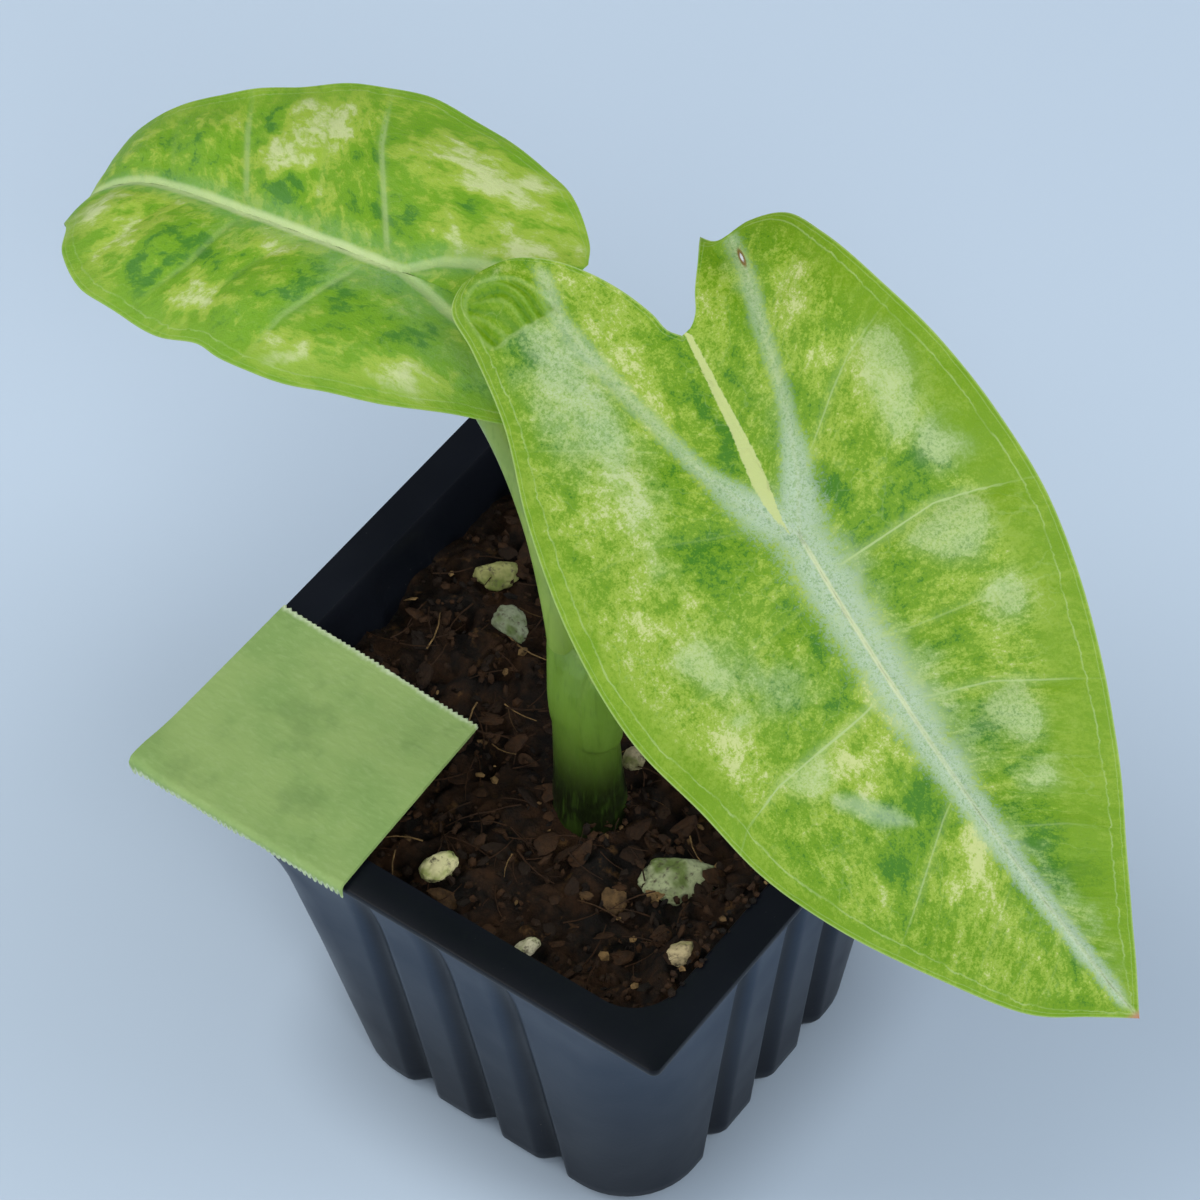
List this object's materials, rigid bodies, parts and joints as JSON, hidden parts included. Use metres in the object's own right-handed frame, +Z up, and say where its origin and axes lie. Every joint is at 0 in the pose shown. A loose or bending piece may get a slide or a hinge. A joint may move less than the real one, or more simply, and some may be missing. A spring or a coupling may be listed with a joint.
{
  "type": "potted alocasia longiloba",
  "caption": "Young potted aroid with variegated arrow-shaped leaves on arching stalks, in a square fluted nursery pot with a piece of paper tape on its rim.",
  "frame": {"origin": "middle of the pot's flat underside", "axes": "+Z up; the pot's sides lie along X and Y; the larger leaf points towards +X, and the tape lies on the corner at -X -Y"},
  "size_m": [0.1147, 0.06, 0.1119],
  "materials": {
    "pot_plastic": "blue-black moulded plastic, satin walls that mirror the sky softly",
    "potting_mix": "loose damp mix of dark coir fibre, bark bits and crumbs",
    "pumice": "porous pale grey-green mineral grain",
    "stem_skin": "smooth olive green plant skin, darker at the foot",
    "stalk_skin": "smooth pale yellow-green plant skin",
    "leaf_blade": "waxy green leaf, mottled with lime and cream, silvery along the veins",
    "paper_tape": "pale green creped paper tape"
  },
  "bodies": {
    "root": {"pot": "pot_plastic", "soil": "potting_mix", "pumice_chip_1": "pumice", "pumice_chip_2": "pumice", "pumice_chip_3": "pumice", "pumice_chip_4": "pumice", "pumice_chip_5": "pumice", "pumice_chip_6": "pumice", "pumice_chip_7": "pumice", "stem": "stem_skin", "leafstalk_front": "stalk_skin", "leafstalk_back": "stalk_skin", "blade_front": "leaf_blade", "blade_back": "leaf_blade", "tape_label": "paper_tape"}
  },
  "joints": []
}
